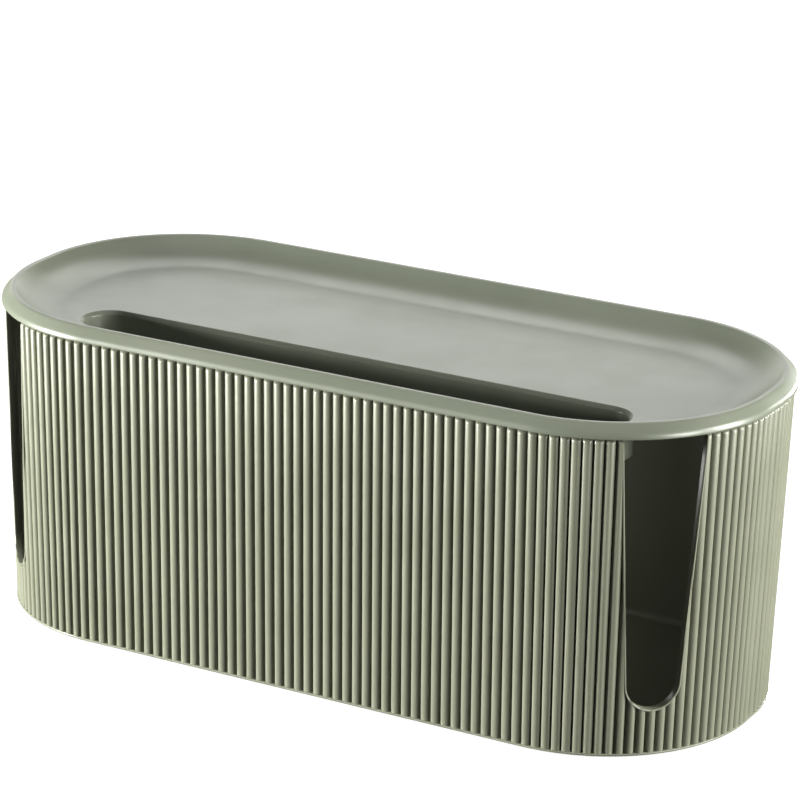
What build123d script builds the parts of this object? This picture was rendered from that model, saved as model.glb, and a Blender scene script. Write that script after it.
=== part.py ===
"""Cable management box: a fluted, round-cornered shell with a lift-off tray lid.

Units are millimetres. +Z is up, +X runs along the box's length and -Y is its front.
The origin lies on the surface the box stands on, under the middle of the box.

Heights stack up from the feet: foot, shell, reveal gap, lid. Outlines are all one
rounded rectangle, drawn smaller by an inset that is measured from the lid's widest edge.
"""
import math
import os

from build123d import *

# ---------------------------------------------------------------- overall outline
lid_length = 320.0          # over the lid's widest edge
lid_width = 142.5           # over the lid's widest edge
end_flat = 9.5              # straight stretch in the middle of each end

# ---------------------------------------------------------------- shell
shell_height = 122.1        # underside of the shell to the top of the ribs
shell_wall = 2.1            # behind the grooves
floor_thickness = 2.6
floor_corner_radius = 3.0   # inside, where the wall meets the floor
draft_inset = 3.5           # the wall leans in by this much, top to bottom
base_band_height = 0.9      # plain band under the ribs
base_band_proud = 0.2       # the band stands out past the rib crests

# ---------------------------------------------------------------- ribs
rib_pitch = 4.15            # aimed at; each straight and corner takes a whole number
rib_height = 1.2            # crest above groove
rib_setback = 1.1           # rib crests inside the lid's lower edge
rib_tip_height = 1.2        # the ribs' tops slope in over this height
rib_tip_share = 0.3         # share of the rib's height left at its very top

# ---------------------------------------------------------------- cable notches
notch_top_width = 31.4      # at the top of the ribs
notch_sill_width = 20.3     # across the round bottom
notch_sill_height = 17.8    # shell underside to the lowest point of the notch
notch_bearing = 45.0        # degrees from the end's axis towards the front

# ---------------------------------------------------------------- lid
reveal_gap = 0.6            # shadow gap between rib tops and the lid's lower edge
skirt_height = 5.5          # lower edge of the lid to the crest of its rim
skirt_band = 1.8            # upright, from the lower edge to the slanted face
skirt_wall = 2.0            # thickness at the lower edge, the lid's widest
skirt_edge_round = 0.4      # on the lower edge, outside and inside
lid_clearance = 0.5         # skirt to collar, all round
rim_roll_radius = 2.0       # roll over the crest of the rim
rim_roll_setback = 2.5      # the roll's side lies this far inside the lower edge
lid_wall = 2.0              # floor, cove and trough walls
seat_step = 1.6             # the seat lies this far under the hollow of the rim
seat_margin = 0.6           # seat beyond the collar's inner face
seat_lead = 0.4             # run from the seat to the cove's underside
dish_depth = 8.7            # crest of the rim to the tray's floor
cove_radius = 24.7          # hollow sweep from the rim down to the floor

# ---------------------------------------------------------------- slot trough in the lid
slot_mouth_width = 22.6     # over the bevelled lip
slot_front_land = 3.4       # level floor left between the lip and the cove, at the front
slot_end_land = 1.1         # the same, where the slot's round ends come nearest to the cove
slot_lip_bevel = 1.4
trough_depth = 12.9         # tray floor to the trough's floor
trough_corner_radius = 2.0  # inside, along the trough's floor

# ---------------------------------------------------------------- floor vents
vent_count = 9
vent_pitch = 15.0
vent_width = 4.0
vent_length = 54.0

# ---------------------------------------------------------------- rubber feet
foot_diameter = 14.0
foot_proud = 1.0            # the box stands this high
foot_recess = 1.2           # pocket in the shell's underside
foot_clearance = 0.2        # round the pad in its pocket
foot_margin = 12.0          # pad to the shell's edge, along the corner's diagonal
foot_edge_round = 0.4

# ---------------------------------------------------------------- worked-out values
corner_radius = (lid_width - end_flat) / 2
corner_x = lid_length / 2 - corner_radius
corner_y = lid_width / 2 - corner_radius

underside_z = foot_proud
rib_top_z = underside_z + shell_height
skirt_edge_z = rib_top_z + reveal_gap
crest_z = skirt_edge_z + skirt_height
seat_z = crest_z - lid_wall - seat_step
tray_z = crest_z - dish_depth
trough_z = tray_z - trough_depth
roll_z = crest_z - rim_roll_radius
cove_z = tray_z + cove_radius

collar_inset = skirt_wall + lid_clearance
wall_inner_inset = rib_setback + rib_height + shell_wall
seat_inner_inset = wall_inner_inset + seat_margin

roll_inset = rim_roll_setback + rim_roll_radius
roll_to_cove = rim_roll_radius + cove_radius
cove_inset = roll_inset + math.sqrt(roll_to_cove**2 - (cove_z - roll_z) ** 2)

mouth_radius = slot_mouth_width / 2
mouth_limit = corner_radius - cove_inset - mouth_radius
mouth_in = mouth_limit - slot_front_land
mouth_along = math.sqrt((mouth_limit - slot_end_land) ** 2 - mouth_in**2)
slot_y = -corner_y - mouth_in
slot_width = slot_mouth_width - 2 * slot_lip_bevel
slot_length = 2 * (corner_x + mouth_along) + slot_width

match_tolerance = 0.01      # for finding an edge by its place
CORNER_SIGNS = [(1, 1), (-1, 1), (-1, -1), (1, -1)]


def lean(height):
    """Extra inset of the drafted wall at a height: none at the rib tops."""
    return draft_inset * (rib_top_z - height) / shell_height


def rounded_outline(inset, height):
    """The box's plan as a face: the lid's widest outline drawn in by an inset."""
    outline = RectangleRounded(
        lid_length - 2 * inset,
        lid_width - 2 * inset,
        corner_radius - inset,
    )
    return Pos(0, 0, height) * outline


def whole_number_of_ribs(run):
    """Ribs that fit a run at about the rib pitch."""
    return max(1, round(run / rib_pitch))


def bulge(start, end, centre_line, height):
    """One rib's arc in plan, from groove to groove over its crest."""
    crest = centre_line.normalized() * height + (start + end) * 0.5
    return ThreePointArc(start, crest, end)


def straight_ribs(start, end, outward, height):
    """Rib arcs side by side along a straight stretch of wall."""
    count = whole_number_of_ribs((end - start).length)
    step = (end - start) / count
    return [
        bulge(start + step * k, start + step * (k + 1), outward, height)
        for k in range(count)
    ]


def corner_ribs(centre, radius, first_angle, height):
    """Rib arcs fanned round a quarter circle of grooves."""
    quarter = math.pi / 2
    count = whole_number_of_ribs(quarter * (corner_radius - rib_setback))
    grooves = [
        centre + Vector(radius, 0, 0).rotate(Axis.Z, first_angle + 90 * k / count)
        for k in range(count + 1)
    ]
    crests = [
        centre + Vector(radius + height, 0, 0).rotate(Axis.Z, first_angle + 90 * (k + 0.5) / count)
        for k in range(count)
    ]
    return [ThreePointArc(grooves[k], crests[k], grooves[k + 1]) for k in range(count)]


def ribbed_outline(groove_inset, height, level):
    """Plan of the fluted wall at a level: grooves on a rounded rectangle, ribs outside it."""
    radius = corner_radius - groove_inset
    arcs = []
    for quarter, (side_x, side_y) in enumerate(CORNER_SIGNS):
        angle = 90 * quarter
        centre = Vector(side_x * corner_x, side_y * corner_y, level)
        outward = Vector(1, 0, 0).rotate(Axis.Z, angle)
        along = Vector(0, 1, 0).rotate(Axis.Z, angle)
        half_run = corner_y if quarter % 2 == 0 else corner_x
        end = centre + outward * radius
        start = end - along * (2 * half_run)
        arcs += straight_ribs(start, end, outward, height)
        arcs += corner_ribs(centre, radius, angle, height)
    return make_face(Wire(arcs))


def ribbed_wall():
    """The fluted outside of the shell, solid: band, ribs and their sloping tops."""
    band_top = underside_z + base_band_height
    tip_base = rib_top_z - rib_tip_height
    groove = rib_setback + rib_height
    band_inset = rib_setback - base_band_proud
    band = loft(
        [
            rounded_outline(band_inset + lean(underside_z), underside_z),
            rounded_outline(band_inset + lean(band_top), band_top),
        ],
        ruled=True,
    )
    ribs = loft(
        [
            ribbed_outline(groove + lean(band_top), rib_height, band_top),
            ribbed_outline(groove + lean(tip_base), rib_height, tip_base),
            ribbed_outline(groove, rib_height * rib_tip_share, rib_top_z),
        ],
        ruled=True,
    )
    return band + ribs


def cavity():
    """The space inside the shell, with a rounded foot to its wall."""
    floor_z = underside_z + floor_thickness
    room = loft(
        [
            rounded_outline(wall_inner_inset + lean(floor_z), floor_z),
            rounded_outline(wall_inner_inset, rib_top_z),
        ],
        ruled=True,
    )
    room = fillet(room.faces().sort_by(Axis.Z)[0].edges(), floor_corner_radius)
    throat = extrude(rounded_outline(wall_inner_inset, rib_top_z), seat_z - rib_top_z)
    return room + throat


def notch_cutter(side):
    """A tapered U, open at the top, pushed out through one front corner."""
    sill_z = underside_z + notch_sill_height
    sill_radius = notch_sill_width / 2
    round_z = sill_z + sill_radius
    flare = (notch_top_width - notch_sill_width) / 2 / (rib_top_z - round_z)
    half_top = sill_radius + flare * (crest_z - round_z)
    outline = make_face(
        [
            ThreePointArc((-sill_radius, round_z), (0, sill_z), (sill_radius, round_z)),
            Polyline(
                (sill_radius, round_z),
                (half_top, crest_z),
                (-half_top, crest_z),
                (-sill_radius, round_z),
            ),
        ]
    )
    bearing = math.radians(notch_bearing)
    outward = Vector(side * math.cos(bearing), -math.sin(bearing), 0)
    across = Vector(0, 0, 1).cross(outward)
    plane = Plane((side * corner_x, -corner_y, 0), x_dir=across, z_dir=outward)
    return extrude(plane * outline, corner_radius)


def floor_vents():
    """A row of long vents across the middle of the floor."""
    vent = Rot(0, 0, 90) * SlotOverall(vent_length, vent_width)
    first = -vent_pitch * (vent_count - 1) / 2
    row = [Pos(first + vent_pitch * k, 0, underside_z) * vent for k in range(vent_count)]
    return [extrude(one, floor_thickness) for one in row]


def foot_places():
    """The four pads sit on the corners' diagonals, in from the shell's edge."""
    base_radius = corner_radius - rib_setback - lean(underside_z)
    reach = (base_radius - foot_margin - foot_diameter / 2) / math.sqrt(2)
    names = ["foot_rear_right", "foot_rear_left", "foot_front_left", "foot_front_right"]
    spots = [
        (side_x * (corner_x + reach), side_y * (corner_y + reach))
        for side_x, side_y in CORNER_SIGNS
    ]
    return dict(zip(names, spots))


def box_shell():
    """The moulded shell: fluted outside, drafted room inside, collar for the lid."""
    collar = extrude(rounded_outline(collar_inset, rib_top_z), seat_z - rib_top_z)
    shell = ribbed_wall() + collar - cavity()
    for side in (-1, 1):
        shell -= notch_cutter(side)
    shell -= floor_vents()
    pocket = Cylinder(
        foot_diameter / 2 + foot_clearance,
        foot_recess,
        align=(Align.CENTER, Align.CENTER, Align.MIN),
    )
    for x, y in foot_places().values():
        shell -= Pos(x, y, underside_z) * pocket
    return shell


def foot(x, y):
    """A round rubber pad, stuck in its pocket and standing proud of it."""
    pad = Cylinder(
        foot_diameter / 2,
        foot_proud + foot_recess,
        align=(Align.CENTER, Align.CENTER, Align.MIN),
    )
    pad = fillet(pad.faces().sort_by(Axis.Z)[0].edges(), foot_edge_round)
    return Pos(x, y, 0) * pad


def rim_profile():
    """Half section of the lid from its widest edge in to the tray's floor.

    It is drawn as (distance from the corner's centre, height). Outside, an upright band and
    a slanted face lead up to the roll over the crest; inside, the roll runs into a hollow
    cove, which meets the floor level. Underneath, a flat seat rests on the shell's collar.
    """
    edge_z = skirt_edge_z + skirt_edge_round
    round_middle = skirt_edge_round * (1 - 1 / math.sqrt(2))
    band_z = skirt_edge_z + skirt_band
    to_roll = math.hypot(roll_inset, roll_z - band_z)
    slant_run = math.sqrt(to_roll**2 - rim_roll_radius**2)
    slant_angle = math.atan2(roll_z - band_z, roll_inset) + math.asin(rim_roll_radius / to_roll)
    roll_start = (slant_run * math.cos(slant_angle), band_z + slant_run * math.sin(slant_angle))
    join_share = rim_roll_radius / roll_to_cove
    join = (
        roll_inset + (cove_inset - roll_inset) * join_share,
        roll_z + (cove_z - roll_z) * join_share,
    )
    cove_angle = math.atan2(cove_inset - join[0], cove_z - join[1])

    def cove_point(radius, angle):
        return (cove_inset - radius * math.sin(angle), cove_z - radius * math.cos(angle))

    under_radius = cove_radius + lid_wall
    under_inset = seat_inner_inset + seat_lead
    under_angle = math.asin((cove_inset - under_inset) / under_radius)

    def at(point):
        return (corner_radius - point[0], point[1])

    outline = [
        ThreePointArc(
            at((skirt_wall, edge_z)),
            at((skirt_wall - round_middle, skirt_edge_z + round_middle)),
            at((skirt_wall - skirt_edge_round, skirt_edge_z)),
        ),
        Line(
            at((skirt_wall - skirt_edge_round, skirt_edge_z)),
            at((skirt_edge_round, skirt_edge_z)),
        ),
        ThreePointArc(
            at((skirt_edge_round, skirt_edge_z)),
            at((round_middle, skirt_edge_z + round_middle)),
            at((0, edge_z)),
        ),
        Polyline(at((0, edge_z)), at((0, band_z)), at(roll_start)),
        ThreePointArc(at(roll_start), at((roll_inset, crest_z)), at(join)),
        ThreePointArc(
            at(join),
            at(cove_point(cove_radius, cove_angle / 2)),
            at((cove_inset, tray_z)),
        ),
        Line(at((cove_inset, tray_z)), at((cove_inset, tray_z - lid_wall))),
        ThreePointArc(
            at((cove_inset, tray_z - lid_wall)),
            at(cove_point(under_radius, under_angle / 2)),
            at(cove_point(under_radius, under_angle)),
        ),
        Polyline(
            at(cove_point(under_radius, under_angle)),
            at((seat_inner_inset, seat_z)),
            at((skirt_wall, seat_z)),
            at((skirt_wall, edge_z)),
        ),
    ]
    return Plane.XZ * make_face(outline)


def carried_round(profile):
    """A profile carried all the way round the box's outline.

    Each quarter is a straight run followed by a quarter turn about the corner's centre.
    """
    ring = Part()
    for quarter in range(4):
        ahead, aside = (corner_x, corner_y) if quarter % 2 == 0 else (corner_y, corner_x)
        piece = extrude(profile, 2 * aside) + revolve(profile, Axis.Z, 90)
        ring += Rot(0, 0, 90 * quarter) * Pos(ahead, aside, 0) * piece
    return ring


def lid():
    """The lid: rolled rim, hollow tray, and a slot that is the mouth of a closed trough."""
    tray = extrude(rounded_outline(cove_inset, tray_z - lid_wall), lid_wall)
    trough = extrude(
        Pos(0, slot_y, trough_z - lid_wall)
        * SlotOverall(slot_length + 2 * lid_wall, slot_width + 2 * lid_wall),
        trough_depth,
    )
    slot = extrude(Pos(0, slot_y, trough_z) * SlotOverall(slot_length, slot_width), trough_depth)
    slot = fillet(slot.faces().sort_by(Axis.Z)[0].edges(), trough_corner_radius)
    cover = carried_round(rim_profile()) + tray + trough - slot
    return chamfer(cover.edges().filter_by(on_slot_lip), slot_lip_bevel)


def on_slot_lip(edge):
    """True for the edges where the slot's wall meets the tray's floor."""
    box = edge.bounding_box()
    off_level = max(abs(box.min.Z - tray_z), abs(box.max.Z - tray_z))
    reach_x = max(abs(box.min.X), abs(box.max.X)) - slot_length / 2
    reach_y = max(abs(box.min.Y - slot_y), abs(box.max.Y - slot_y)) - slot_width / 2
    return max(off_level, reach_x, reach_y) < match_tolerance


def main():
    """Build every piece and write it as parts/NAME.step."""
    nodes = {"box_shell": box_shell(), "lid": lid()}
    for name, (x, y) in foot_places().items():
        nodes[name] = foot(x, y)
    os.makedirs("parts", exist_ok=True)
    for name, solid in nodes.items():
        export_step(solid, f"parts/{name}.step")
        print(f"{name}: {len(solid.solids())} solid, {solid.volume / 1000:.1f} cm3")


main()
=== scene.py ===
# %% [markdown]
# # A cable management box
#
# The real object is two satin plastic mouldings and four rubber pads: a long fluted box with
# two notches for cords, and a loose tray lid with a slot for a phone. The imported model gives
# the frame, and the overall sizes here are read from it. Each piece below is a closed
# surface that numpy works out from a formula.

import math

import bmesh
import bpy
import numpy as np
from mathutils import Matrix, Vector


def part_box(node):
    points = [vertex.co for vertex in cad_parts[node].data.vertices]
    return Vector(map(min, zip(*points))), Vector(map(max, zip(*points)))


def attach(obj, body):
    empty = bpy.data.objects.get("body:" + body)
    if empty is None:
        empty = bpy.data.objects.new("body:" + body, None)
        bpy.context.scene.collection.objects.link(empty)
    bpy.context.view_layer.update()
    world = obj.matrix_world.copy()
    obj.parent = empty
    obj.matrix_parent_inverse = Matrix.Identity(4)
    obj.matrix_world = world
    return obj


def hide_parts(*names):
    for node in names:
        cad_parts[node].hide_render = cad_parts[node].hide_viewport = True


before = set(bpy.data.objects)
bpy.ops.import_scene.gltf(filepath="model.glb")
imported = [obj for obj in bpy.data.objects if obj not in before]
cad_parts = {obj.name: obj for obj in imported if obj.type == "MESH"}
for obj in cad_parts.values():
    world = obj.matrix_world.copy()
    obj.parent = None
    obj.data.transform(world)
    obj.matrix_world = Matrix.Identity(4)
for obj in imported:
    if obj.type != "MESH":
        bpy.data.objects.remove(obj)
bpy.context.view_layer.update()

# %% [markdown]
# ## Sizes
#
# A moulder's drawing gives a few driving sizes and lets the rest follow. The box and the lid
# share one plan, a rectangle with round corners, and every outline is that plan drawn in by
# an *inset* from the lid's widest edge. The overall length, width and heights are read from
# the frame. The rest are the drawing's own values, in millimetres.

# %% Driving sizes
MM = 0.001
lid_low, lid_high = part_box("lid")
shell_low, shell_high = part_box("box_shell")

LENGTH = lid_high.x - lid_low.x
WIDTH = lid_high.y - lid_low.y
END_FLAT = 9.5 * MM
CORNER_R = (WIDTH - END_FLAT) / 2
CORNER_X = LENGTH / 2 - CORNER_R
CORNER_Y = WIDTH / 2 - CORNER_R

RIM_RISE = 6.1 * MM
UNDERSIDE_Z = shell_low.z
SEAT_Z = shell_high.z
CREST_Z = lid_high.z
RIB_TOP_Z = CREST_Z - RIM_RISE

RIB_PITCH = 4.15 * MM
RIB_CREST_INSET = 1.1 * MM
RIB_DEPTH = 2.0 * MM
DRAFT = 3.5 * MM
COLLAR_INSET = 2.5 * MM
WALL_INNER_INSET = 4.4 * MM
FLOOR_THICKNESS = 2.6 * MM
FLOOR_Z = UNDERSIDE_Z + FLOOR_THICKNESS
print("length, width, corner, mm:", [round(v / MM, 2) for v in (LENGTH, WIDTH, CORNER_R)])
print("heights, mm:", [round(z / MM, 2) for z in (UNDERSIDE_Z, RIB_TOP_Z, SEAT_Z, CREST_Z)])

# %% [markdown]
# ## A rail round the box
#
# Both mouldings are a profile carried round the plan. Blender could sweep a curve's bevel
# along a path, but its stations would not fall on the ribs. So the plan is a *rail* of
# stations that is worked out here. Each has a centre point, an outward direction and a phase
# that counts ribs, so that a point at any inset is
# `centre + (corner radius - inset) * direction`. On a straight run the centre moves and the
# direction stays; round a corner it is the other way about.


# %% The rail
def rail(places=None, cell=None):
    """Stations round the plan, anticlockwise from the right end's flat.

    Each run (flat, corner, long side, corner and so on) holds a whole number of ribs. With u
    from 0 to 1 along a run, a straight has centre = start + u * (end - start), and a corner
    has direction = (cos a, sin a) with a growing by a quarter turn. places gives the places
    of the stations inside one rib. With a cell's length instead, a run is cut evenly.
    """
    centres, directions, phases = [], [], []
    rib = 0
    for quarter in range(4):
        side_x, side_y = ((1, 1), (-1, 1), (-1, -1), (1, -1))[quarter]
        angle = quarter * math.pi / 2
        middle = np.array([side_x * CORNER_X, side_y * CORNER_Y])
        half_run = CORNER_Y if quarter % 2 == 0 else CORNER_X
        along = np.array([-math.sin(angle), math.cos(angle)])
        for turning in (False, True):
            length = (CORNER_R - RIB_CREST_INSET) * math.pi / 2 if turning else 2 * half_run
            ribs = max(1, round(length / RIB_PITCH))
            cells = max(1, round(length / cell)) if cell else ribs
            inner = np.array([0.0]) if cell else places
            u = ((np.arange(cells)[:, None] + inner[None, :]) / cells).ravel()
            turn = angle + (u * math.pi / 2 if turning else 0 * u)
            shift = 0 * u if turning else 2 * half_run * (1 - u)
            centres.append(middle - shift[:, None] * along)
            directions.append(np.stack([np.cos(turn), np.sin(turn)], axis=1))
            phases.append(rib + u * ribs)
            rib += ribs
    return np.vstack(centres), np.vstack(directions), np.concatenate(phases)


RIB_STEPS = 12
sweep = np.linspace(-1, 1, RIB_STEPS, endpoint=False)
rib_places = 0.5 + 0.5 * np.sin(sweep * math.pi / 2)
wall_rail = rail(rib_places)
print("ribs:", int(round(wall_rail[2][-1])), "stations:", len(wall_rail[2]))

# %% [markdown]
# ## From rings to a closed mesh
#
# A carried profile is a stack of rings with the same number of points, so the faces are plain
# quads between a ring and the next. The first and last rings are drawn down to a *spine*, a
# line along the middle, where the two sides meet: merging the doubles there closes the skin.
# A closed skin needs no Solidify, and both its sides can have their own profile.

# %% Rings and skins
SHARP_DEGREES = 38.0
MERGE = 1e-6  # metres: closer points become one


def ring(stations, inset, height):
    """One ring: (centre + (corner radius - inset) * direction, height)."""
    centres, directions, _ = stations
    reach = np.broadcast_to(CORNER_R - inset, len(centres))
    flat = centres + reach[:, None] * directions
    return np.column_stack([flat, np.full(len(flat), height)])


def spine(stations, height):
    """The closing ring: every station drawn onto the line that runs along the middle."""
    along = stations[0][:, 0]
    return np.column_stack([along, np.full(len(along), 0.0), np.full(len(along), height)])


def skin(name, rings):
    """A closed mesh from a list of rings. Quad k, j joins ring k to ring k + 1 at station j."""
    points = np.concatenate(rings)
    count, around = len(rings), len(rings[0])
    starts = np.arange(count - 1)[:, None] * around
    low = (starts + np.arange(around)[None, :]).ravel()
    beside = (starts + (np.arange(around)[None, :] + 1) % around).ravel()
    quads = np.column_stack([low, beside, beside + around, low + around])
    mesh = bpy.data.meshes.new(name)
    mesh.from_pydata(points.tolist(), [], quads.tolist())
    piece = bpy.data.objects.new(name, mesh)
    bpy.context.scene.collection.objects.link(piece)
    tidy_mesh(mesh)
    finish_mesh(mesh)
    return piece


def tidy_mesh(mesh):
    """Merge doubles, drop what has no area and turn every face outwards."""
    work = bmesh.new()
    work.from_mesh(mesh)
    bmesh.ops.remove_doubles(work, verts=work.verts, dist=MERGE)
    bmesh.ops.dissolve_degenerate(work, edges=work.edges, dist=MERGE)
    bmesh.ops.recalc_face_normals(work, faces=work.faces)
    if work.calc_volume(signed=True) < 0:
        bmesh.ops.reverse_faces(work, faces=work.faces)
    work.to_mesh(mesh)
    work.free()


def finish_mesh(mesh):
    """Smooth shading, broken where faces meet at more than SHARP_DEGREES."""
    mesh.shade_smooth()
    mesh.set_sharp_from_angle(angle=math.radians(SHARP_DEGREES))


def report(piece):
    """Print what a piece measures and whether its skin is closed."""
    work = bmesh.new()
    work.from_mesh(piece.data)
    open_edges = sum(len(e.link_faces) != 2 for e in work.edges)
    size = [round(v / MM, 1) for v in piece.dimensions]
    triangles = sum(len(f.verts) - 2 for f in work.faces)
    print(piece.name, "mm:", size, "triangles:", triangles, "open edges:", open_edges,
          "cm3:", round(work.calc_volume() * 1e6, 1))
    work.free()


# %% Rounds for the profiles
def arc(centre, radius, start, end, count):
    """Points (inset, height) on a circle from one angle to another, in degrees."""
    a = np.radians(np.linspace(start, end, count))
    return np.column_stack([centre[0] + radius * np.cos(a), centre[1] + radius * np.sin(a)])


def unit(vector):
    """The vector at length 1."""
    return vector / np.linalg.norm(vector)


def bend(before, corner, after, radius, count):
    """Points that round a corner: a circle of the radius, tangent to both sides.

    With h half the angle between the sides, the circle's centre lies radius / sin h from the
    corner, along their bisector, and touches them radius / tan h away from it.
    """
    before, corner, after = (np.array(p, dtype=float) for p in (before, corner, after))
    back, ahead = unit(before - corner), unit(after - corner)
    half = math.acos(float(np.clip(back @ ahead, -1, 1))) / 2
    centre = corner + unit(back + ahead) * radius / math.sin(half)
    first, last = (corner + side * radius / math.tan(half) - centre for side in (back, ahead))
    start = math.atan2(first[1], first[0])
    turned = (math.atan2(last[1], last[0]) - start + math.pi) % (2 * math.pi) - math.pi
    a = start + turned * np.linspace(0, 1, count)
    return np.column_stack([centre[0] + radius * np.cos(a), centre[1] + radius * np.sin(a)])


# %% [markdown]
# ## The fluted box
#
# The real wall is half-round ribs side by side, with a sharp dark groove between each pair,
# leaning in by a few millimetres towards the foot so that the moulding leaves its tool. Near
# the lid each rib rounds off, and at the foot a thin plain band ties them together. A
# displacement texture could fake this, but the ribs are what the eye rests on, so each one
# is real geometry.


# %% The wall's surface
def lean(height):
    """Extra inset of the drafted wall: none at the rib tops, the whole draft at the foot."""
    return DRAFT * (RIB_TOP_Z - height) / (RIB_TOP_Z - UNDERSIDE_Z)


def rib_bulge(phase):
    """How far a rib stands out: 0 in the groove, 1 on the crest, sqrt(1 - x^2) between."""
    x = 2 * (phase - np.floor(phase)) - 1
    return np.sqrt(np.clip(1 - x**2, 0, 1))


def rib_ring(height, share):
    """A ring of the fluted wall. The groove lies one rib depth inside the crest."""
    inset = RIB_CREST_INSET + lean(height) + RIB_DEPTH * (1 - share * rib_bulge(wall_rail[2]))
    return ring(wall_rail, inset, height)


BAND_HEIGHT = 0.9 * MM
BAND_INSET = 0.9 * MM
BAND_ROUND = 0.3 * MM
TIP_HEIGHT = 1.3 * MM
TIP_TURNS = np.array([0, 20, 38, 54, 68, 80])

band_top = UNDERSIDE_Z + BAND_HEIGHT
band_edge = BAND_INSET + lean(UNDERSIDE_Z)
band_profile = np.vstack([
    arc((band_edge + BAND_ROUND, UNDERSIDE_Z + BAND_ROUND), BAND_ROUND, 270, 180, count=4),
    arc((band_edge + BAND_ROUND, band_top - BAND_ROUND), BAND_ROUND, 180, 90, count=4),
])
outside = [spine(wall_rail, UNDERSIDE_Z)]
outside += [ring(wall_rail, i, z) for i, z in band_profile]
outside.append(rib_ring(band_top, 1.0))
outside.append(rib_ring((band_top + RIB_TOP_Z) / 2, 1.0))
outside += [
    rib_ring(RIB_TOP_Z - TIP_HEIGHT * (1 - math.sin(a)), math.cos(a))
    for a in np.radians(TIP_TURNS)
]
print("outside rings:", len(outside))

# %% The inside, from the collar down to the floor
COLLAR_ROUND = 0.3 * MM
FLOOR_ROUND = 3.0 * MM
inner_foot = WALL_INNER_INSET + lean(FLOOR_Z)
collar_round_z = SEAT_Z - COLLAR_ROUND
collar_profile = np.vstack([
    [(COLLAR_INSET, RIB_TOP_Z)],
    arc((COLLAR_INSET + COLLAR_ROUND, collar_round_z), COLLAR_ROUND, 180, 90, count=4),
    arc((WALL_INNER_INSET - COLLAR_ROUND, collar_round_z), COLLAR_ROUND, 90, 0, count=4),
    [(WALL_INNER_INSET, RIB_TOP_Z)],
    arc((inner_foot + FLOOR_ROUND, FLOOR_Z + FLOOR_ROUND), FLOOR_ROUND, 180, 270, count=8),
])
inside = [ring(wall_rail, i, z) for i, z in collar_profile]
inside.append(spine(wall_rail, FLOOR_Z))
shell = skin("fluted_box", outside + inside)
report(shell)

# %% [markdown]
# ## Notches, vents and pockets
#
# Cords leave through two tapered U notches that are cut straight out through the front
# corners, along each corner's diagonal. The floor has a row of long vents, and a pocket for
# each rubber pad. Leaving quads out of the skin would give stepped edges. All of the
# openings are prisms, so one exact boolean with a joined cutter does it.


# %% Prisms
def prism(outline, start, end):
    """A closed prism: an outline's points moved by two vectors, with both ends capped."""
    n = len(outline)
    points = np.vstack([outline + start, outline + end])
    here = np.arange(n)
    ahead = (here + 1) % n
    sides = np.column_stack([here, ahead, ahead + n, here + n]).tolist()
    return points, sides + [list(range(n))[::-1], list(range(n, 2 * n))]


def stadium(length, width, count):
    """A slot's outline on the XY plane: two half circles joined by straights."""
    half = np.linspace(-math.pi / 2, math.pi / 2, count)
    cap = np.column_stack([np.cos(half), np.sin(half)]) * width / 2
    reach = np.array([(length - width) / 2, 0])
    flat = np.vstack([cap + reach, -cap - reach])
    return np.column_stack([flat, np.zeros(len(flat))])


def circle(radius, count):
    """A circle's outline on the XY plane: radius * (cos a, sin a, 0)."""
    a = np.linspace(0, 2 * math.pi, count, endpoint=False)
    return np.column_stack([np.cos(a), np.sin(a), 0 * a]) * radius


# %% The notches
NOTCH_TOP = 31.4 * MM
NOTCH_SILL = 20.3 * MM
NOTCH_SILL_HEIGHT = 17.8 * MM
NOTCH_BEARING = math.radians(45)
NOTCH_REACH = 1.05  # in corner radii
NOTCH_ARC_POINTS = 33

notch_radius = NOTCH_SILL / 2
notch_round_z = UNDERSIDE_Z + NOTCH_SILL_HEIGHT + notch_radius
notch_flare = (NOTCH_TOP / 2 - notch_radius) / (RIB_TOP_Z - notch_round_z)


def notch_bottom():
    """The U's round bottom, as (across, up) points on a half circle."""
    a = np.linspace(math.pi, 2 * math.pi, NOTCH_ARC_POINTS)
    up = notch_round_z + notch_radius * np.sin(a)
    return np.column_stack([notch_radius * np.cos(a), up])


def notch_axes(side):
    """A front corner's centre, and the directions out of its notch, across it and up."""
    corner = np.array([side * CORNER_X, -CORNER_Y, 0])
    out = np.array([side * math.cos(NOTCH_BEARING), -math.sin(NOTCH_BEARING), 0])
    sideways = np.array([math.sin(NOTCH_BEARING), side * math.cos(NOTCH_BEARING), 0])
    return corner, out, sideways, np.array([0, 0, 1])


def notch(side):
    """A tapered U, drawn across its bearing and pushed out through one front corner.

    Above the round bottom, its half width is radius + flare * height over the round's centre.
    """
    corner, out, sideways, upwards = notch_axes(side)
    top_half = notch_radius + notch_flare * (CREST_Z - notch_round_z)
    outline = np.vstack([notch_bottom(), [(top_half, CREST_Z), (-top_half, CREST_Z)]])
    flat = outline[:, :1] * sideways + outline[:, 1:] * upwards
    return prism(flat, corner, corner + out * CORNER_R * NOTCH_REACH)


print("notch, mm wide:", [round(v / MM, 1) for v in (NOTCH_SILL, NOTCH_TOP)])

# %% Vents, pockets and the cutter
VENT_COUNT, VENT_PITCH, VENT_LENGTH, VENT_WIDTH = 9, 15 * MM, 54 * MM, 4 * MM
POCKET_RADIUS, POCKET_DEPTH = 7.2 * MM, 1.2 * MM
OVERCUT = 0.5 * MM


def upright(outline, x, y, low_z, high_z):
    """A prism that stands on a place of the floor, from one height to another."""
    return prism(outline, np.array([x, y, low_z]), np.array([x, y, high_z]))


vent_outline = stadium(VENT_LENGTH, VENT_WIDTH, count=9)[:, [1, 0, 2]]
vent_places = (np.arange(VENT_COUNT) - (VENT_COUNT - 1) / 2) * VENT_PITCH
below, above = UNDERSIDE_Z - OVERCUT, FLOOR_Z + OVERCUT
vents = [upright(vent_outline, x, 0, below, above) for x in vent_places]

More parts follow.
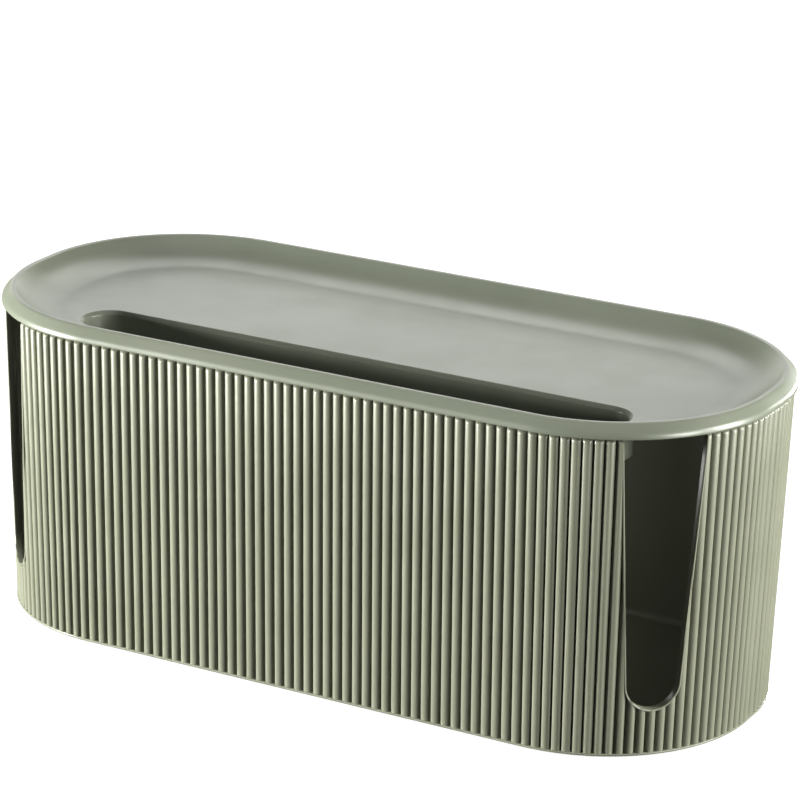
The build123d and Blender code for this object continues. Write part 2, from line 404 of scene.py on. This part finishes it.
pads = [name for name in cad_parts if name.startswith("foot_")]
pad_middles = [sum(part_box(name), Vector()) / 2 for name in pads]
pocket_outline = circle(POCKET_RADIUS, count=48)
pocket_top = UNDERSIDE_Z + POCKET_DEPTH
pockets = [upright(pocket_outline, m.x, m.y, below, pocket_top) for m in pad_middles]

cuts = [notch(-1), notch(1), *vents, *pockets]
starts = np.cumsum([0] + [len(points) for points, _ in cuts])
cutter_mesh = bpy.data.meshes.new("cutter")
cutter_mesh.from_pydata(
    np.vstack([points for points, _ in cuts]).tolist(),
    [],
    [[int(i + s) for i in face] for s, (_, faces) in zip(starts, cuts) for face in faces],
)
tidy_mesh(cutter_mesh)
pad_places = [tuple(round(v / MM, 1) for v in m) for m in pad_middles]
print("cuts:", len(cuts), "pads at, mm:", pad_places)


# %% Cut the shell
def cut(piece, mesh):
    """Take a cutter's solid away from a piece with an exact boolean, and keep the result."""
    cutter = bpy.data.objects.new("cutter", mesh)
    bpy.context.scene.collection.objects.link(cutter)
    step = piece.modifiers.new("cut", "BOOLEAN")
    step.operation, step.solver, step.object = "DIFFERENCE", "EXACT", cutter
    depsgraph = bpy.context.evaluated_depsgraph_get()
    made = bpy.data.meshes.new_from_object(piece.evaluated_get(depsgraph))
    piece.modifiers.clear()
    piece.data = made
    bpy.data.objects.remove(cutter)


cut(shell, cutter_mesh)
print("faces after the cut:", len(shell.data.polygons))

# %% [markdown]
# ## Beads
#
# A knife-sharp cut through ribs would look ragged, so the real notch has a narrow half-round
# bead all the way round its edge. A bevel on the cut edge would break up where it crosses the
# grooves. Each bead is a skin of its own instead: a small round section carried along the U,
# and laid on the round, drafted corner at the height of the rib crests.

# %% The bead's path and section
BEAD_WIDTH = 0.9 * MM
BEAD_DEPTH = 2.6 * MM
BEAD_OVERHANG = 0.05 * MM
SIDE_STATIONS = 30


def notch_edge(top_z):
    """The U's outline up to a height, as (across, up) points, with its outward normals."""
    rise = np.linspace(top_z - notch_round_z, 0, SIDE_STATIONS, endpoint=False)
    left = np.column_stack([-notch_radius - notch_flare * rise, notch_round_z + rise])
    points = np.vstack([left, notch_bottom(), left[::-1] * np.array([-1, 1])])
    tangents = np.gradient(points, axis=0)
    normals = np.column_stack([tangents[:, 1], -tangents[:, 0]])
    return points, normals / np.linalg.norm(normals, axis=1)[:, None]


def bead(side):
    """A half-round bead along a notch's edge, level with the rib crests.

    A section point (offset, depth) is carried to edge point + offset * normal, and out to
    sqrt(crest radius^2 - across^2) - depth, so that it follows the round, drafted corner.
    """
    points, normals = notch_edge(RIB_TOP_Z - TIP_HEIGHT / 2)
    corner, out, sideways, upwards = notch_axes(side)
    half = (BEAD_WIDTH + BEAD_OVERHANG) / 2
    crown = arc((BEAD_WIDTH - half, half), half, 180, 360, count=9)
    section = np.vstack([[(-BEAD_OVERHANG, BEAD_DEPTH)], crown, [(BEAD_WIDTH, BEAD_DEPTH)]])
    placed = points[:, None, :] + section[None, :, :1] * normals[:, None, :]
    across, up = placed[..., 0], placed[..., 1]
    crest_radius = CORNER_R - RIB_CREST_INSET - lean(up)
    reach = np.sqrt(crest_radius**2 - across**2) - section[None, :, 1]
    grid = corner + reach[..., None] * out + across[..., None] * sideways
    grid = grid + up[..., None] * upwards
    caps = [np.repeat(grid[k].mean(axis=0)[None], len(section), axis=0) for k in (0, -1)]
    return skin("bead", [caps[0], *grid, caps[1]])


# %% Beads round both notches
def join(piece, extra):
    """Add another piece's closed skin to a piece's mesh."""
    work = bmesh.new()
    work.from_mesh(piece.data)
    work.from_mesh(extra.data)
    work.to_mesh(piece.data)
    work.free()
    bpy.data.objects.remove(extra)


for side in (-1, 1):
    join(shell, bead(side))
finish_mesh(shell.data)
report(shell)
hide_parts("box_shell")
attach(shell, "box")

# %% [markdown]
# ## The lid
#
# The lid is one thin moulding too. Going round its skin: the trough's floor and wall, a
# bevelled lip, the level tray, a hollow cove, a small roll over the crest, a slanted face, an
# upright band with a rounded lower edge, the seat that rests on the box's collar, and back
# under the tray to the trough's outside. Solids and booleans could make it, as they do in the
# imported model, but one closed stack of rings shades without a seam. The slot has a rail of
# its own, with as many stations as the plan's, so that the tray is simply the quads between
# the two.

# %% The rim's arcs
DISH_DEPTH = 8.7 * MM
LID_WALL = 2.0 * MM
ROLL = 2.0 * MM
ROLL_SETBACK = 2.5 * MM
COVE = 24.7 * MM
SKIRT_HEIGHT = 5.5 * MM
SKIRT_BAND = 1.8 * MM
SKIRT_WALL = 2.0 * MM
SKIRT_ROUND = 0.4 * MM
SHOULDER_ROUND = 3.0 * MM

TRAY_Z = CREST_Z - DISH_DEPTH
SKIRT_Z = CREST_Z - SKIRT_HEIGHT
roll_inset = ROLL + ROLL_SETBACK
roll_z = CREST_Z - ROLL
cove_z = TRAY_Z + COVE
cove_inset = roll_inset + math.sqrt((ROLL + COVE) ** 2 - (cove_z - roll_z) ** 2)
join_angle = math.degrees(math.atan2(cove_z - roll_z, cove_inset - roll_inset))
edge_z = SKIRT_Z + SKIRT_ROUND
band_z = SKIRT_Z + SKIRT_BAND
band_to_roll = math.hypot(roll_inset, roll_z - band_z)
slant = math.atan2(roll_z - band_z, roll_inset) + math.asin(ROLL / band_to_roll)
roll_end = 90 + math.degrees(slant)
print("cove's foot, mm inside the edge:", round(cove_inset / MM, 2))
print("roll ends at, degrees:", round(roll_end, 1))

# %% The slot's place
BEVEL = 1.4 * MM
MOUTH_HALF = 11.3 * MM
FRONT_LAND = 3.4 * MM
END_LAND = 1.1 * MM
mouth_limit = CORNER_R - cove_inset - MOUTH_HALF
mouth_in = mouth_limit - FRONT_LAND
mouth_along = math.sqrt((mouth_limit - END_LAND) ** 2 - mouth_in**2)
SLOT_Y = -CORNER_Y - mouth_in
SLOT_HALF = MOUTH_HALF - BEVEL
SLOT_REACH = CORNER_X + mouth_along
print("slot's line, mm:", round(SLOT_Y / MM, 2))
print("slot's half length, mm:", round((SLOT_REACH + SLOT_HALF) / MM, 2))

# %% The lid's two rails
LID_CELL = 2.1 * MM
ON_END = 1e-9
lid_rail = rail(cell=LID_CELL)


def slot_rail(stations):
    """The slot's stations, matched to the plan's by the direction they face.

    Round the ends the direction is spread evenly by how far along the end a station lies,
    so the end's flat gets its share too; along the sides the centre moves in step.
    """
    centres, directions, _ = stations
    at_end = np.abs(centres[:, 0]) > CORNER_X - ON_END
    sign = np.sign(centres[:, 0])
    bearing = np.arctan2(directions[:, 1], np.abs(directions[:, 0]))
    travel = CORNER_R * bearing + centres[:, 1]
    whole = CORNER_R * math.pi / 2 + CORNER_Y
    angle = travel / whole * math.pi / 2
    facing = np.where(
        at_end[:, None],
        np.column_stack([sign * np.cos(angle), np.sin(angle)]),
        directions,
    )
    along = centres[:, 0] * SLOT_REACH / CORNER_X
    return np.column_stack([along, np.full(len(along), SLOT_Y)]), facing


slot_centres, slot_facing = slot_rail(lid_rail)


def slot_ring(radius, height):
    """A ring of the slot: (centre + radius * direction, height)."""
    flat = slot_centres + radius * slot_facing
    return np.column_stack([flat, np.full(len(flat), height)])


print("lid stations:", len(slot_centres))

# %% The lid's rings, from the trough's floor out to the lower edge
TROUGH_Z = lid_low.z + LID_WALL
TROUGH_ROUND = 2.0 * MM
LIP_ROUND = 0.7 * MM
LIP_EDGE = 0.2 * MM

bevel_foot, bevel_top = (SLOT_HALF, TRAY_Z - BEVEL), (MOUTH_HALF, TRAY_Z)
on_tray = (2 * MOUTH_HALF, TRAY_Z)
slot_profile = np.vstack([
    arc((SLOT_HALF - TROUGH_ROUND, TROUGH_Z + TROUGH_ROUND), TROUGH_ROUND, 270, 360, count=6),
    bend((SLOT_HALF, TROUGH_Z), bevel_foot, bevel_top, LIP_ROUND, count=5),
    bend(bevel_foot, bevel_top, on_tray, LIP_EDGE, count=4),
])
top = [slot_ring(0.0, TROUGH_Z)]
top += [slot_ring(r, z) for r, z in slot_profile]
cove = arc((cove_inset, cove_z), COVE, 270, 180 + join_angle, count=22)
roll = arc((roll_inset, roll_z), ROLL, join_angle, roll_end, count=18)[1:]
edge = np.vstack([
    bend(roll[-1], (0, band_z), (0, edge_z), SHOULDER_ROUND, count=8),
    arc((SKIRT_ROUND, edge_z), SKIRT_ROUND, 180, 270, count=5),
    arc((SKIRT_WALL - SKIRT_ROUND, edge_z), SKIRT_ROUND, 270, 360, count=5),
])
print("lid rings so far:", len(top) + len(cove) + len(roll) + len(edge))

# %% The underside's rings, and the lid
SEAT_MARGIN = 0.6 * MM
SEAT_LEAD = 0.4 * MM
UNDER_ROUND = 1.5 * MM

seat_inset = WALL_INNER_INSET + SEAT_MARGIN
under_start = seat_inset + SEAT_LEAD
under_radius = COVE + LID_WALL
under_angle = math.degrees(math.acos((cove_inset - under_start) / under_radius))
under_cove = arc((cove_inset, cove_z), under_radius, 180 + under_angle, 270, count=14)
seat = [(SKIRT_WALL, SEAT_Z), (seat_inset, SEAT_Z)]
rim_profile = np.vstack([cove, roll, edge, seat, under_cove])
rim = [ring(lid_rail, i, z) for i, z in rim_profile]
outer = SLOT_HALF + LID_WALL
bottom_profile = np.vstack([
    [(outer, TRAY_Z - LID_WALL)],
    arc((outer - UNDER_ROUND, lid_low.z + UNDER_ROUND), UNDER_ROUND, 0, -90, count=5),
])
bottom = [slot_ring(r, z) for r, z in bottom_profile]
bottom.append(slot_ring(0.0, lid_low.z))
lid = skin("tray_lid", top + rim + bottom)
report(lid)
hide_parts("lid")
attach(lid, "lid")

# %% [markdown]
# ## Finishes
#
# Moulded satin plastic is one colour all through. What tells it from a flat fill is small: a
# very fine grain left by the tool, a roughness that drifts a little from place to place, and
# a slow drift in tone. An image could carry these, but it would need an unwrapped surface.
# Noise on Object coordinates needs none, and stays put on the piece. Rubber is darker,
# rougher and a little dusty.

# %% Noise
NOISE_LOW, NOISE_HIGH = 0.35, 0.65


def noise(tree, scale, detail, coords):
    """A noise texture on the given coordinates."""
    node = tree.nodes.new("ShaderNodeTexNoise")
    node.inputs["Scale"].default_value = scale
    node.inputs["Detail"].default_value = detail
    tree.links.new(coords, node.inputs["Vector"])
    return node.outputs["Fac"]


def spread(tree, value, low, high):
    """Stretch a noise value, which mostly stays near the middle, onto a range."""
    node = tree.nodes.new("ShaderNodeMapRange")
    ends = {"From Min": NOISE_LOW, "From Max": NOISE_HIGH, "To Min": low, "To Max": high}
    for socket, number in ends.items():
        node.inputs[socket].default_value = number
    tree.links.new(value, node.inputs["Value"])
    return node.outputs["Result"]


# %% A moulded finish
TONE_SCALE, TONE_DETAIL = 14.0, 3.0
ROUGH_SCALE, ROUGH_DETAIL = 45.0, 2.0
GRAIN_DETAIL = 2.0
GRAIN_STRENGTH = 0.35
PLASTIC_IOR = 1.5
MIX_FACTOR, MIX_FIRST, MIX_SECOND, MIX_RESULT = 0, 6, 7, 2


def moulded(name, dark, light, rough, grain_scale, grain_depth):
    """A moulded finish: two close tones, drifting roughness and a fine grain."""
    material = bpy.data.materials.new(name)
    material.use_nodes = True
    tree = material.node_tree
    shader = tree.nodes["Principled BSDF"]
    coords = tree.nodes.new("ShaderNodeTexCoord").outputs["Object"]
    tone = tree.nodes.new("ShaderNodeMix")
    tone.data_type = "RGBA"
    tone.inputs[MIX_FIRST].default_value = (*dark, 1)
    tone.inputs[MIX_SECOND].default_value = (*light, 1)
    tone_drift = spread(tree, noise(tree, TONE_SCALE, TONE_DETAIL, coords), 0.0, 1.0)
    tree.links.new(tone_drift, tone.inputs[MIX_FACTOR])
    tree.links.new(tone.outputs[MIX_RESULT], shader.inputs["Base Color"])
    rough_drift = spread(tree, noise(tree, ROUGH_SCALE, ROUGH_DETAIL, coords), *rough)
    tree.links.new(rough_drift, shader.inputs["Roughness"])
    bump = tree.nodes.new("ShaderNodeBump")
    bump.inputs["Strength"].default_value = GRAIN_STRENGTH
    bump.inputs["Distance"].default_value = grain_depth
    tree.links.new(noise(tree, grain_scale, GRAIN_DETAIL, coords), bump.inputs["Height"])
    tree.links.new(bump.outputs["Normal"], shader.inputs["Normal"])
    shader.inputs["IOR"].default_value = PLASTIC_IOR
    return material


def dress(piece, material):
    """Give a piece one material."""
    piece.data.materials.clear()
    piece.data.materials.append(material)


# %% Satin plastic and rubber
PLASTIC_GRAIN = {"grain_scale": 2600.0, "grain_depth": 0.012 * MM}
RUBBER_GRAIN = {"grain_scale": 1500.0, "grain_depth": 0.08 * MM}

shell_finish = moulded(
    "sage_shell_plastic",
    dark=(0.192, 0.199, 0.151),
    light=(0.209, 0.215, 0.165),
    rough=(0.30, 0.38),
    **PLASTIC_GRAIN,
)
# The lid is the same sage plastic as the box, but its two tones are set about a tenth darker.
# This is painted shade, so that the lid's lit top and rim come out less bright.
lid_painted_shade_finish = moulded(
    "sage_lid_plastic_painted_shade",
    dark=(0.168, 0.182, 0.143),
    light=(0.184, 0.198, 0.157),
    rough=(0.30, 0.37),
    **PLASTIC_GRAIN,
)
rubber_finish = moulded(
    "pad_rubber",
    dark=(0.012, 0.012, 0.012),
    light=(0.02, 0.02, 0.019),
    rough=(0.7, 0.85),
    **RUBBER_GRAIN,
)
dress(shell, shell_finish)
dress(lid, lid_painted_shade_finish)
for name in pads:
    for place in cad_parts[name].material_slots:
        place.material = rubber_finish
print("finishes:", [m.name for m in (shell_finish, lid_painted_shade_finish, rubber_finish)])

# %% [markdown]
# ## The floor
#
# The box stands on a plain pale floor that reaches past the picture's edge, so that floor and
# background are one. A white world would do the same, but it would also light the box from
# everywhere and fill its grooves. So the floor glows by itself, and is hidden from the light
# that bounces and shines back from the box.

# %% Floor
FLOOR_RADIUS = 9.0
FLOOR_GREY, FLOOR_ROUGHNESS, FLOOR_GLOW = 0.3, 0.9, 0.85

disc = circle(FLOOR_RADIUS, count=96)
floor_mesh = bpy.data.meshes.new("floor")
floor_mesh.from_pydata(disc.tolist(), [], [list(range(len(disc)))])
floor = bpy.data.objects.new("floor", floor_mesh)
bpy.context.scene.collection.objects.link(floor)
paper = bpy.data.materials.new("pale_floor")
paper.use_nodes = True
sockets = paper.node_tree.nodes["Principled BSDF"].inputs
sockets["Base Color"].default_value = (FLOOR_GREY, FLOOR_GREY, FLOOR_GREY, 1)
sockets["Roughness"].default_value = FLOOR_ROUGHNESS
sockets["Emission Color"].default_value = (1, 1, 1, 1)
sockets["Emission Strength"].default_value = FLOOR_GLOW
dress(floor, paper)
floor.visible_diffuse = floor.visible_glossy = False
print("floor radius, m:", FLOOR_RADIUS)

# %% [markdown]
# ## Light
#
# One large light by the camera would be simpler, but it would flatten the ribs. They show
# best when light rakes across them, so a narrow key stands low at the left, and two soft
# boxes at the right draw the corner and the end. Two wide ones behind give the tray its
# sheen, a low one lights the back wall without reaching the tray, and a weak one overhead
# reaches down into the slot. A tiny lamp inside keeps the notches from going fully black.
# The sky is almost dark, because light from everywhere would fill the grooves, and a view
# gamma below one deepens them further.

# %% Lights
# Each row: name, place, the point it faces, (width, height) in metres, watts.
SOFT_BOXES = (
    ("back_light", (-0.9, 2.2, 2.4), (0, 0, 0.1), (2.4, 1.8), 54),
    ("key", (-1.01, -0.79, 0.17), (0, 0, 0.07), (0.22, 0.4), 63),
    ("right_box", (1.12, 0.28, 0.3), (0, 0, 0.07), (0.35, 0.8), 26),
    ("right_front", (1.15, -0.3, 0.25), (0, 0, 0.07), (0.3, 0.6), 14),
    ("back_box", (-1.0, 1.9, 0.7), (0, 0, 0.12), (2.6, 1.0), 17),
    ("back_low", (0.45, 1.6, 0.08), (0, 0, 0.07), (0.25, 0.24), 22),
    ("overhead", (0, 0, 1.7), (0, 0, 0.1), (1.2, 1.2), 5.5),
)
INSIDE_PLACE, INSIDE_POWER, INSIDE_RADIUS = (0, 0, 0.07), 0.11, 0.02
SKY_STRENGTH = 0.02
VIEW_GAMMA = 0.8


def soft_box(name, place, target, size, power):
    """An area light of a given width and height, turned to face a point."""
    lamp = bpy.data.lights.new(name, "AREA")
    lamp.shape, lamp.size, lamp.size_y, lamp.energy = "RECTANGLE", size[0], size[1], power
    light = bpy.data.objects.new(name, lamp)
    light.location = place
    light.rotation_euler = (Vector(target) - Vector(place)).to_track_quat("-Z", "Y").to_euler()
    bpy.context.scene.collection.objects.link(light)


for row in SOFT_BOXES:
    soft_box(*row)
inside_lamp = bpy.data.lights.new("inside", "POINT")
inside_lamp.energy, inside_lamp.shadow_soft_size = INSIDE_POWER, INSIDE_RADIUS
inside_light = bpy.data.objects.new("inside", inside_lamp)
inside_light.location = INSIDE_PLACE
bpy.context.scene.collection.objects.link(inside_light)

world = bpy.data.worlds.new("sky")
world.use_nodes = True
sky = world.node_tree.nodes["Background"].inputs
sky["Color"].default_value = (1, 1, 1, 1)
sky["Strength"].default_value = SKY_STRENGTH
bpy.context.scene.world = world
bpy.context.scene.view_settings.view_transform = "Standard"
bpy.context.scene.view_settings.gamma = VIEW_GAMMA
print("soft boxes, watts:", {row[0]: row[-1] for row in SOFT_BOXES})

# %% [markdown]
# ## Camera
#
# A product is often shot from far off with a long lens, which keeps its sides nearly
# parallel. The camera is placed by angles round the box, by a distance, and by a small slide
# in its own plane. A Track To constraint could aim it, but it couldn't also roll it.

# %% Camera
AZIMUTH, ELEVATION, ROLL_ANGLE = (math.radians(a) for a in (28.274, 18.927, 1.3131))
DISTANCE = 1.39386
AIM = Vector((0, 0, 65.05 * MM))
SLIDE_RIGHT, SLIDE_UP = 5.3 * MM, 30.6 * MM
LENS, SENSOR = 163.17, 36.0

back = Vector((
    math.sin(AZIMUTH) * math.cos(ELEVATION),
    -math.cos(AZIMUTH) * math.cos(ELEVATION),
    math.sin(ELEVATION),
))
level_right = Vector((math.cos(AZIMUTH), math.sin(AZIMUTH), 0))
level_up = back.cross(level_right)
right = level_right * math.cos(ROLL_ANGLE) + level_up * math.sin(ROLL_ANGLE)
up = level_up * math.cos(ROLL_ANGLE) - level_right * math.sin(ROLL_ANGLE)
place = AIM + back * DISTANCE + right * SLIDE_RIGHT + up * SLIDE_UP
lens = bpy.data.cameras.new("camera")
lens.lens, lens.sensor_width = LENS, SENSOR
camera = bpy.data.objects.new("camera", lens)
turned = Matrix((right, up, back)).transposed().to_4x4()
camera.matrix_world = Matrix.Translation(place) @ turned
bpy.context.scene.collection.objects.link(camera)
bpy.context.scene.camera = camera
print("camera at", [round(v, 3) for v in place])
